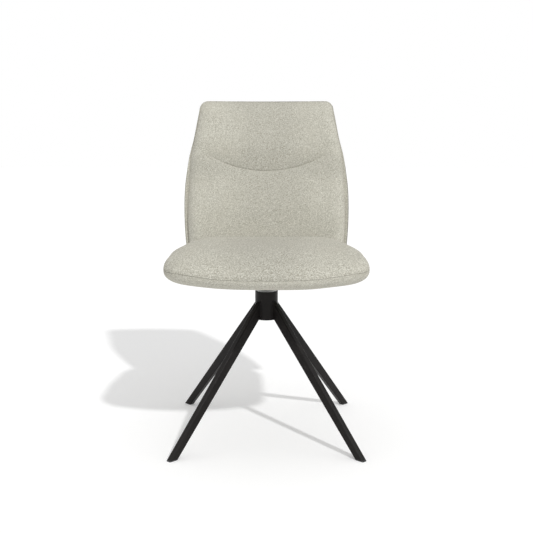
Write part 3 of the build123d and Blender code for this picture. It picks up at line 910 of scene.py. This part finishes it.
def woven_cover(name, painted_shade_heights=None, contrast=1.0, grain=(1, 1, 1)):
    """Greige looped fabric: short uneven loops of light and darker yarn.

    contrast is how strongly the yarn's tones differ, and grain stretches the
    loops along each axis. Down the middle and beside the back's crease the
    colour is painted darker, as painted shade. The argument after the name is
    the two heights over which the middle's painted shade sets in.
    """
    finish = Finish(name, {
        "Sheen Weight": 0.12, "Sheen Roughness": 0.45, "Sheen Tint": (1.0, 0.93, 0.86, 1),
        "Specular IOR Level": 0.18})
    cloth = finish.place(grain)
    loops = finish.cells(560.0, where=cloth)
    knots = finish.noise(390.0, 2.0, 0.6, cloth)
    fibres = finish.noise(1500.0, 2.0, 0.6, cloth)
    clouds = finish.noise(14.0, 2.0, 0.5)
    yarn = finish.grade(knots * 0.66 + fibres * 0.14 + loops * 0.22,
                        0.52 - 0.14 / contrast, 0.52 + 0.14 / contrast)
    dark, light = (0.325, 0.310, 0.255, 1), (0.66, 0.650, 0.575, 1)
    plain = finish.mix(yarn, dark, light)
    warm = finish.mix(finish.grade(clouds, 0.35, 0.65, 0.0, 0.25), plain,
                      (0.49, 0.470, 0.395, 1))
    # Painted shade: the colour is darker down the middle of the seat and the back.
    if painted_shade_heights:
        across = finish.node("SeparateXYZ", {}, {"Vector": finish.place()}, "X")
        from_middle = across.size() + (finish.noise(9.0, 2.0, 0.5) - 0.5) * 0.07
        up = finish.node("SeparateXYZ", {}, {"Vector": finish.place()}, "Z")
        from_crease = (up - (crease_height + 0.010)).size()
        # Painted shade beside the back's crease, where the fold's shade falls.
        crease_painted_shade = finish.grade(from_crease, 0.012, 0.045, 0.55, 0.0)
        middle = finish.grade(from_middle, 0.045, 0.125, 0.60, 0.0)
        middle = middle * finish.grade(up, *painted_shade_heights)
        # flat holds the darker yarn colours that both painted shades use.
        flat = finish.mix(yarn, (0.270, 0.257, 0.212, 1), (0.55, 0.540, 0.478, 1))
        warm = finish.mix(middle.larger(crease_painted_shade), warm, flat)
    finish.colour(warm)
    finish.rough(finish.grade(yarn, 0.0, 1.0, 0.96, 0.86))
    finish.relief(knots * 0.6 + fibres * 0.2 - loops * 0.35, 0.0012, 0.8)
    return finish.material


def sewing_thread():
    """Twisted thread, a little darker than the cloth."""
    finish = Finish("sewing_thread", {"Specular IOR Level": 0.3})
    twist = finish.noise(2400.0, 1.0)
    finish.colour(finish.mix(twist, (0.36, 0.345, 0.285, 1), (0.50, 0.485, 0.415, 1)))
    finish.rough(finish.grade(twist, 0.3, 0.7, 0.7, 0.85))
    finish.relief(twist, 0.0003, 0.5)
    return finish.material


def powder_coat(name, dark, light, roughness):
    """Black coat with a fine orange-peel skin and slight variation of gloss."""
    finish = Finish(name, {"Specular IOR Level": 0.14})
    peel = finish.noise(900.0, 2.0, 0.6)
    cloud = finish.noise(30.0, 2.0)
    finish.colour(finish.mix(finish.grade(cloud * 0.6 + peel * 0.4, 0.35, 0.65), dark, light))
    finish.rough(finish.grade(cloud * 0.5 + peel * 0.5, 0.3, 0.7,
                              roughness - 0.03, roughness + 0.04))
    finish.relief(peel, 0.00006, 0.35)
    return finish.material


def moulded_plastic(name, dark, light, roughness):
    """Plastic with faint flow marks and a fine skin."""
    finish = Finish(name, {"Specular IOR Level": 0.45})
    skin = finish.noise(1400.0, 2.0)
    flow = finish.noise(45.0, 2.0)
    finish.colour(finish.mix(flow, dark, light))
    finish.rough(finish.grade(skin, 0.3, 0.7, roughness - 0.05, roughness + 0.07))
    finish.relief(skin, 0.00015, 0.4)
    return finish.material


def zinc_plate():
    """Zinc over turned steel: fine rings round the axis and dull patches."""
    finish = Finish("zinc_plated_steel", {"Metallic": 1.0})
    lathe = finish.noise(60.0, 3.0, 0.6, finish.place((1, 1, 28)))
    patches = finish.noise(110.0, 3.0)
    finish.colour(finish.mix(patches, (0.36, 0.37, 0.38, 1), (0.54, 0.54, 0.53, 1)))
    finish.rough(finish.grade(lathe * 0.5 + patches * 0.5, 0.3, 0.7, 0.26, 0.46))
    finish.relief(lathe, 0.0001, 0.4)
    return finish.material


def bent_plywood():
    """Beech veneers: grain along the board and ply lines through its thickness."""
    finish = Finish("moulded_plywood", {"Specular IOR Level": 0.3})
    grain = finish.noise(38.0, 4.0, 0.6, finish.place((9, 0.7, 9)))
    pores = finish.noise(420.0, 2.0, 0.6, finish.place((1, 0.12, 1)))
    plies = finish.node("TexWave", {"bands_direction": "Z", "wave_profile": "TRI"},
                        {"Vector": finish.place(), "Scale": 105.0, "Distortion": 0.6,
                         "Detail": 2.0})
    face = finish.mix(finish.grade(grain, 0.3, 0.7), (0.50, 0.35, 0.20, 1),
                      (0.72, 0.56, 0.37, 1))
    lined = finish.mix(finish.grade(plies, 0.6, 1.0, 0.0, 0.35), face,
                       (0.38, 0.24, 0.13, 1))
    finish.colour(lined)
    finish.rough(finish.grade(pores, 0.3, 0.7, 0.55, 0.75))
    finish.relief(pores * 0.6 + grain * 0.4, 0.0003, 0.5)
    return finish.material


def dust_cloth():
    """Black non-woven cloth with its pressed dots."""
    finish = Finish("dust_cloth", {"Specular IOR Level": 0.2, "Sheen Weight": 0.15})
    dots = finish.cells(520.0)
    fibres = finish.noise(700.0, 3.0, 0.65)
    mesh = finish.grade(dots, 0.1, 0.45)
    finish.colour(finish.mix(mesh * 0.6 + fibres * 0.4, (0.012, 0.012, 0.013, 1),
                             (0.045, 0.045, 0.047, 1)))
    finish.rough(finish.grade(fibres, 0.3, 0.7, 0.8, 0.95))
    finish.relief(mesh * 0.6 + fibres * 0.5, 0.0004, 0.7)
    return finish.material


def dress(piece, material):
    """Gives a piece one material all over."""
    piece.data.materials.clear()
    piece.data.materials.append(material)
    for face in piece.data.polygons:
        face.material_index = 0


# ------------------------------------------------------------ assembly
fabric = woven_cover("upholstery_fabric")
seat_fabric = woven_cover("seat_fabric", (0.30, 0.40), 1.4, (1, 0.75, 1))
back_fabric = woven_cover("back_fabric", (0.50, 0.62))
thread = sewing_thread()
finishes = {
    "frame_coat": powder_coat("satin_black_coat", (0.0075, 0.0064, 0.0060, 1),
                              (0.0125, 0.0108, 0.0100, 1), 0.34),
    "plate_coat": powder_coat("matt_black_coat", (0.020, 0.020, 0.021, 1),
                              (0.036, 0.036, 0.037, 1), 0.60),
    "glide_plastic": moulded_plastic("black_plastic", (0.015, 0.015, 0.016, 1),
                                     (0.028, 0.028, 0.029, 1), 0.50),
    "bush_nylon": moulded_plastic("grey_nylon", (0.60, 0.61, 0.58, 1),
                                  (0.70, 0.71, 0.68, 1), 0.16),
    "zinc_steel": zinc_plate(),
    "plywood": bent_plywood(),
    "upholstery": fabric,
    "dust_cloth": dust_cloth(),
}
for part in frame["record"]["subparts"]:
    dress(nodes[part["node"]], finishes[part["material_slot"]])

covers = {
    "seat_cushion": (make_seat_cushion(), seat_fabric),
    "seat_underpad": (make_seat_underpad(), fabric),
    "back_cushion": (make_back_cushion(), back_fabric),
    "back_shell_pad": (make_back_shell(), fabric),
}
for node, (cover, cloth) in covers.items():
    dress(cover, cloth)
    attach(cover, "seat_unit")
    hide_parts(node)

for name, rows in (("seat_seam_stitches", seat_stitch_rows()),
                   ("back_seam_stitches", back_stitch_rows())):
    stitches = stitched(name, rows)
    dress(stitches, thread)
    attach(stitches, "seat_unit")

for name, degrees in (("rear_right", 45), ("rear_left", 135), ("front_left", 225),
                      ("front_right", 315)):
    bead = weld_round_leg("leg_weld_" + name, math.radians(degrees))
    dress(bead, finishes["frame_coat"])
    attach(bead, "base")


# ------------------------------------------------------------ room and light
def floor_finish():
    """White floor that glows a little, so that only the shadow shows on it."""
    finish = Finish("pale_floor", {"Base Color": (0.94, 0.94, 0.94, 1), "Roughness": 1.0,
                                   "Specular IOR Level": 0.0, "Emission Strength": 1.0})
    glow = finish.mix(finish.seen(), (0.05, 0.05, 0.05, 1), (0.12, 0.12, 0.12, 1))
    finish.tree.links.new(glow.socket, finish.shader.inputs["Emission Color"])
    return finish.material


def white_room():
    """White room for the eye and in reflections, dimmer as a light."""
    world = bpy.data.worlds.new("white_room")
    bpy.context.scene.world = world
    world.use_nodes = True
    sky = Nodes(world.node_tree)
    room = sky.mix(sky.seen(), (0.50, 0.50, 0.50, 1), (1.0, 1.0, 1.0, 1))
    background = sky.node("Background", {}, {"Color": room})
    sky.node("OutputWorld", {}, {"Surface": background})


def add_sun(name, towards, strength, spread):
    """Adds a sun that shines along a direction, with its spread in degrees."""
    lamp = bpy.data.lights.new(name, "SUN")
    lamp.energy = strength
    lamp.angle = math.radians(spread)
    light = bpy.data.objects.new(name, lamp)
    light.location = -Vector(towards)
    light.rotation_euler = Vector(towards).to_track_quat("-Z", "Y").to_euler()
    bpy.context.scene.collection.objects.link(light)


bpy.ops.object.select_all(action="DESELECT")
bpy.ops.mesh.primitive_plane_add(size=60, location=(0, 0, cad_low.z - 0.0002))
floor = bpy.context.object
floor.name = "floor"
dress(floor, floor_finish())

white_room()
add_sun("sun", (-0.544, 1.076, -1.0), 1.55, 2.5)
add_sun("overhead", (0, 0.25, -1.0), 0.65, 100)

eye_distance = 2.0861
eye_height = 0.7207
eye_falls = 0.13954          # radians below the level
eye = bpy.data.cameras.new("eye")
eye.sensor_width = 36.0
eye.lens = 56.14
camera = bpy.data.objects.new("eye", eye)
camera.location = (0, -eye_distance, eye_height)
camera.rotation_euler = (math.radians(90) - eye_falls, 0, 0)
bpy.context.scene.collection.objects.link(camera)
bpy.context.scene.camera = camera
bpy.context.scene.view_settings.view_transform = "Standard"
